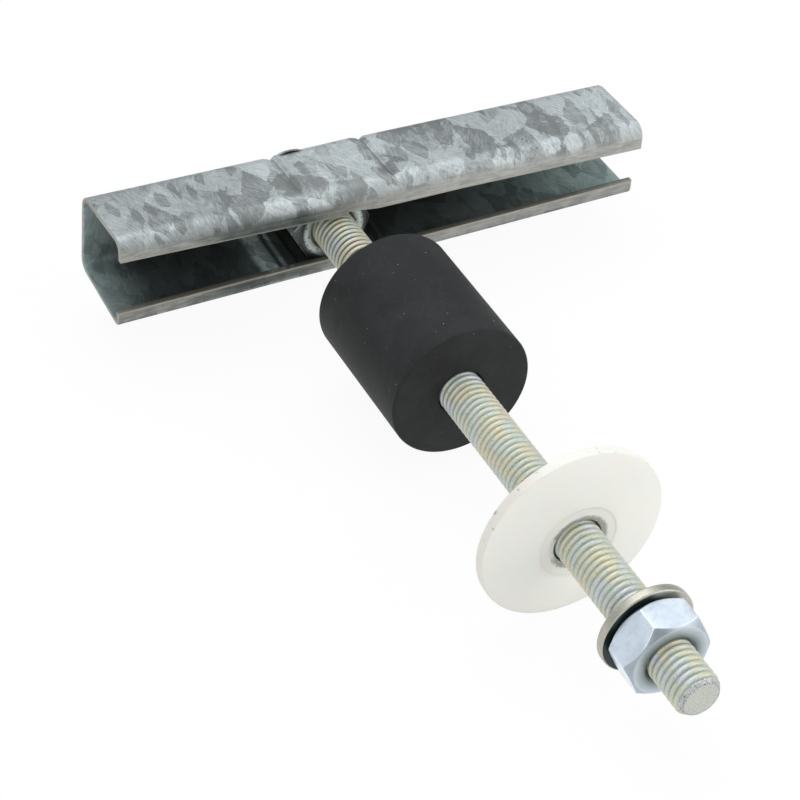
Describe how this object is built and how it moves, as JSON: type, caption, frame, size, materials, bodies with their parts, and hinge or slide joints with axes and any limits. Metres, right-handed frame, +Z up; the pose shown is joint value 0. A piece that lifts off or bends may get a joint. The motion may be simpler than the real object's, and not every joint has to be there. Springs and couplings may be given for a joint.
{
  "type": "toggle bolt",
  "caption": "Hollow-wall toggle bolt: folded galvanised bar on a threaded stud with rubber sleeve, plastic and steel washers and a hex nut.",
  "frame": {"origin": "bottom centre of the whole object's box; the plastic washer's rim touches Z = 0", "axes": "Y along the stud, its tip towards -Y and the toggle bar towards +Y; X along the bar, its long arm towards +X; Z up"},
  "size_m": [0.1296, 0.1741, 0.0402],
  "materials": {
    "galvanised_steel": "hot-dip galvanised, spangled",
    "zinc_yellow": "passivated zinc",
    "zinc_blue": "bright blue zinc",
    "black_rubber": "matt",
    "white_plastic": "satin"
  },
  "bodies": {
    "stud": {"threaded_rod": "zinc_yellow", "captive_nut": "zinc_yellow"},
    "bar": {"channel": "galvanised_steel"},
    "sleeve": {"rubber_sleeve": "black_rubber"},
    "wall_washer": {"plastic_washer": "white_plastic"},
    "flat_washer": {"steel_washer": "zinc_yellow"},
    "clamp_nut": {"front_nut": "zinc_blue"}
  },
  "joints": [
    {"name": "toggle_pivot", "type": "hinge", "parent": "stud", "child": "bar", "pos_m": [-0.0079, 0.0672, 0.0201], "axis": [0, 0, 1], "range_deg": [0, 90]},
    {"name": "sleeve_slide", "type": "slide", "parent": "stud", "child": "sleeve", "axis": [0, -1, 0], "range_m": [0, 0.0402]},
    {"name": "washer_slide", "type": "slide", "parent": "stud", "child": "wall_washer", "axis": [0, 1, 0], "range_m": [-0.0115, 0.003]},
    {"name": "nut_travel", "type": "slide", "parent": "stud", "child": "flat_washer", "axis": [0, 1, 0], "range_m": [-0.008, 0.0115]},
    {"name": "nut_spin", "type": "hinge", "parent": "flat_washer", "child": "clamp_nut", "pos_m": [-0.01275, -0.0727, 0.0201], "axis": [0, 1, 0], "range_deg": [-1930, 2770]}
  ],
  "couplings": [
    {"joint": "sleeve_slide", "follows": "toggle_pivot", "m_per_rad": 0.0255},
    {"joint": "nut_spin", "follows": "nut_travel", "rad_per_m": 4188.8}
  ]
}
